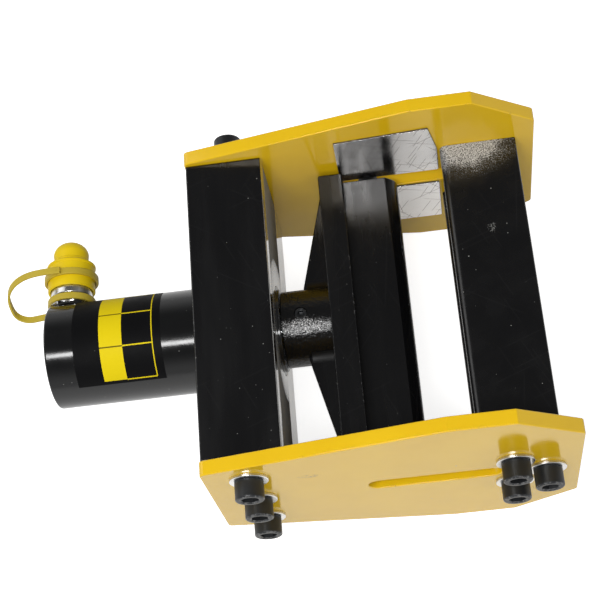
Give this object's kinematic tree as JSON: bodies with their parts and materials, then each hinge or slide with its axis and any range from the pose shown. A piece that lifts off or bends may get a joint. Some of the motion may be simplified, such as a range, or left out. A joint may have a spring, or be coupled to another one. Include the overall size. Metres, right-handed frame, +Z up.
{
  "type": "hydraulic busbar bender",
  "caption": "Hydraulic bender for flat bar: a ram drives a blunt punch between two slotted side plates into a vee die; a capped quick coupler feeds the cylinder.",
  "frame": {"origin": "middle of the lowest plane of the bounding box, the tool standing on its side plates", "axes": "+X along the ram's push, from the cylinder to the die; +Y to the side of the quick coupler; +Z up"},
  "size_m": [0.366, 0.252, 0.1705],
  "materials": {
    "yellow_paint": "gloss yellow enamel",
    "black_paint": "satin black enamel",
    "cast_black": "black paint, lightly textured and worn",
    "black_oxide": "black oxide",
    "ground_steel": "ground bright, with run-in scratches",
    "zinc_steel": "zinc plated",
    "chrome": "hard chrome, polished",
    "spring_steel": "oiled spring wire",
    "bronze": "turned bronze",
    "black_rubber": "moulded rubber",
    "seal_polymer": "moulded polyurethane",
    "yellow_plastic": "soft moulded plastic"
  },
  "bodies": {
    "frame": {"near_side_plate": "yellow_paint", "far_side_plate": "yellow_paint", "near_upper_wear_strip": "ground_steel", "near_lower_wear_strip": "ground_steel", "far_upper_wear_strip": "ground_steel", "far_lower_wear_strip": "ground_steel", "rear_block": "black_paint", "front_block": "black_paint", "cylinder_barrel": "black_paint", "near_rear_bolt_1": "black_oxide", "near_rear_bolt_2": "black_oxide", "near_rear_bolt_3": "black_oxide", "near_front_bolt_1": "black_oxide", "near_front_bolt_2": "black_oxide", "near_front_bolt_3": "black_oxide", "far_rear_bolt_1": "black_oxide", "far_rear_bolt_2": "black_oxide", "far_rear_bolt_3": "black_oxide", "far_front_bolt_1": "black_oxide", "far_front_bolt_2": "black_oxide", "far_front_bolt_3": "black_oxide", "gland": "black_oxide", "near_rear_washer_1": "zinc_steel", "near_rear_washer_2": "zinc_steel", "near_rear_washer_3": "zinc_steel", "near_front_washer_1": "zinc_steel", "near_front_washer_2": "zinc_steel", "near_front_washer_3": "zinc_steel", "far_rear_washer_1": "zinc_steel", "far_rear_washer_2": "zinc_steel", "far_rear_washer_3": "zinc_steel", "far_front_washer_1": "zinc_steel", "far_front_washer_2": "zinc_steel", "far_front_washer_3": "zinc_steel", "coupler_adapter": "zinc_steel", "coupler_body": "zinc_steel", "return_spring": "spring_steel", "poppet_spring": "spring_steel", "gland_o_ring": "black_rubber", "rod_wiper": "black_rubber", "port_seal": "black_rubber", "rod_seal": "seal_polymer", "cap_tether": "yellow_plastic"},
    "punch": {"piston_rod": "chrome", "piston": "ground_steel", "piston_seal": "seal_polymer", "piston_guide_band": "bronze", "punch_holder": "cast_black", "punch_nose": "cast_black", "lock_screw": "black_oxide", "near_nose_screw": "black_oxide", "far_nose_screw": "black_oxide", "near_guide_pin": "ground_steel", "far_guide_pin": "ground_steel"},
    "cap": {"dust_cap": "yellow_plastic", "tether_cap_ring": "yellow_plastic"},
    "poppet": {"coupler_poppet": "ground_steel"}
  },
  "joints": [
    {"name": "punch_slide", "type": "slide", "parent": "frame", "child": "punch", "axis": [1, 0, 0], "range_m": [0, 0.05], "stiffness_N_per_m": 5000, "springref_m": -0.02, "deforming": ["return_spring"]},
    {"name": "cap_slide", "type": "slide", "parent": "frame", "child": "cap", "axis": [0, 1, 0], "range_m": [0, 0.028], "deforming": ["cap_tether"]},
    {"name": "poppet_slide", "type": "slide", "parent": "frame", "child": "poppet", "axis": [0, -1, 0], "range_m": [0, 0.004], "stiffness_N_per_m": 800, "springref_m": -0.006, "deforming": ["poppet_spring"]}
  ]
}
